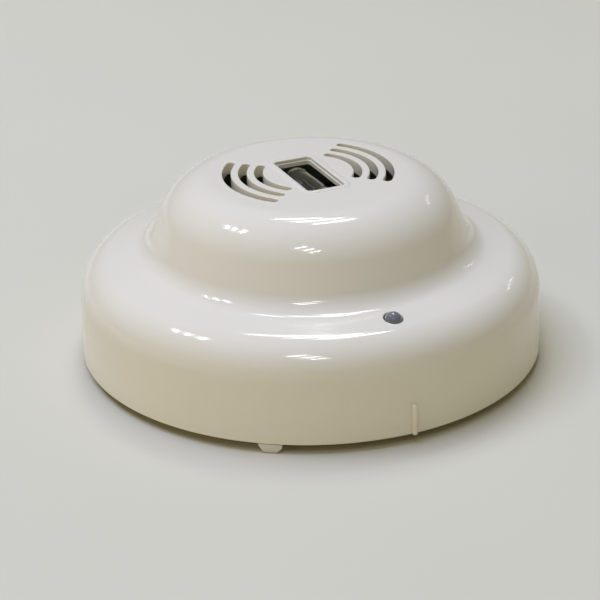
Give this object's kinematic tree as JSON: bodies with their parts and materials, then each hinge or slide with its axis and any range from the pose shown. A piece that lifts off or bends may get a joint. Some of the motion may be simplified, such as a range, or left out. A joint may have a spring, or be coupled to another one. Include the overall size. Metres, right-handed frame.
{
  "type": "heat detector",
  "caption": "Round ceiling heat detector with a stepped dome, side vents, a sensing window and a status lamp, on a twist-lock mounting base with screw terminals.",
  "frame": {"origin": "centre of the cable entry at the base's back face, the face that lies on the ceiling", "axes": "+Z out of the mounting surface through the dome; the sensing window is long along Y, the vents lie on the X sides, and the status lamp and index rib face -Y"},
  "size_m": [0.105, 0.106, 0.0428],
  "materials": {
    "cover_plastic": "moulded glossy ABS, warm white",
    "chassis_plastic": "moulded ABS, satin",
    "base_plastic": "moulded ABS, satin, cream",
    "black_plastic": "moulded nylon",
    "steel": "zinc plated",
    "screw_brass": "plated brass",
    "brass": "stamped, satin",
    "spring_bronze": "phosphor bronze strip",
    "tinned_wire": "tinned copper wire",
    "board_laminate": "glass epoxy with solder mask",
    "lamp_epoxy": "smoke grey tinted epoxy",
    "tube_glass": "clear fused glass",
    "electrode_metal": "nickel",
    "thermistor_coating": "dipped epoxy",
    "ferrite": "sintered ferrite",
    "bobbin_plastic": "phenolic",
    "enamelled_copper": "enamelled copper wire under varnish",
    "capacitor_sleeve": "shrunk sleeve over a can",
    "rubber_bung": "moulded bung",
    "capacitor_resin": "dipped resin",
    "chip_epoxy": "moulded epoxy",
    "resistor_body": "lacquered, with plain bands",
    "diode_body": "glass bead"
  },
  "bodies": {
    "base": {"base_plate": "base_plastic", "terminal_nuts": "brass", "contact_springs": "spring_bronze", "spring_rivets": "steel"},
    "head": {"outer_cover": "cover_plastic", "head_chassis": "chassis_plastic", "cover_screws": "steel", "circuit_board": "board_laminate", "board_screws": "steel", "status_lamp": "lamp_epoxy", "lamp_holder": "black_plastic", "lamp_leads": "tinned_wire", "sensor_tube_glass": "tube_glass", "tube_cathode": "electrode_metal", "tube_anode": "electrode_metal", "tube_pins": "tinned_wire", "tube_cradle": "black_plastic", "thermistor_bead": "thermistor_coating", "thermistor_leads": "tinned_wire", "thermistor_post": "black_plastic", "contact_pads": "brass", "contact_pins": "brass", "transformer_core": "ferrite", "transformer_bobbin": "bobbin_plastic", "transformer_winding": "enamelled_copper", "supply_capacitors": "capacitor_sleeve", "capacitor_bungs": "rubber_bung", "film_capacitor": "capacitor_resin", "controller_chip": "chip_epoxy", "chip_legs": "tinned_wire", "resistors": "resistor_body", "resistor_leads": "tinned_wire", "diodes": "diode_body", "diode_leads": "tinned_wire", "transistors": "chip_epoxy"},
    "clamp_1": {"clamp_plate_1": "steel"},
    "screw_1": {"terminal_screw_1": "screw_brass"},
    "clamp_2": {"clamp_plate_2": "steel"},
    "screw_2": {"terminal_screw_2": "screw_brass"},
    "clamp_3": {"clamp_plate_3": "steel"},
    "screw_3": {"terminal_screw_3": "screw_brass"},
    "clamp_4": {"clamp_plate_4": "steel"},
    "screw_4": {"terminal_screw_4": "screw_brass"}
  },
  "joints": [
    {"name": "head_twist", "type": "hinge", "parent": "base", "child": "head", "pos_m": [0, 0, 0.011], "axis": [0, 0, 1], "range_deg": [-34, 0]},
    {"name": "clamp_1_lift", "type": "slide", "parent": "base", "child": "clamp_1", "axis": [0, 0, 1], "range_m": [0, 0.002]},
    {"name": "screw_1_turn", "type": "hinge", "parent": "clamp_1", "child": "screw_1", "pos_m": [0.011, 0.01905, 0.0045], "axis": [0, 0, 1], "range_deg": [0, 1440]},
    {"name": "clamp_2_lift", "type": "slide", "parent": "base", "child": "clamp_2", "axis": [0, 0, 1], "range_m": [0, 0.002]},
    {"name": "screw_2_turn", "type": "hinge", "parent": "clamp_2", "child": "screw_2", "pos_m": [-0.011, 0.01905, 0.0045], "axis": [0, 0, 1], "range_deg": [0, 1440]},
    {"name": "clamp_3_lift", "type": "slide", "parent": "base", "child": "clamp_3", "axis": [0, 0, 1], "range_m": [0, 0.002]},
    {"name": "screw_3_turn", "type": "hinge", "parent": "clamp_3", "child": "screw_3", "pos_m": [-0.011, -0.01905, 0.0045], "axis": [0, 0, 1], "range_deg": [0, 1440]},
    {"name": "clamp_4_lift", "type": "slide", "parent": "base", "child": "clamp_4", "axis": [0, 0, 1], "range_m": [0, 0.002]},
    {"name": "screw_4_turn", "type": "hinge", "parent": "clamp_4", "child": "screw_4", "pos_m": [0.011, -0.01905, 0.0045], "axis": [0, 0, 1], "range_deg": [0, 1440]}
  ],
  "couplings": [
    {"joint": "screw_1_turn", "follows": "clamp_1_lift", "rad_per_m": 12566},
    {"joint": "screw_2_turn", "follows": "clamp_2_lift", "rad_per_m": 12566},
    {"joint": "screw_3_turn", "follows": "clamp_3_lift", "rad_per_m": 12566},
    {"joint": "screw_4_turn", "follows": "clamp_4_lift", "rad_per_m": 12566}
  ]
}
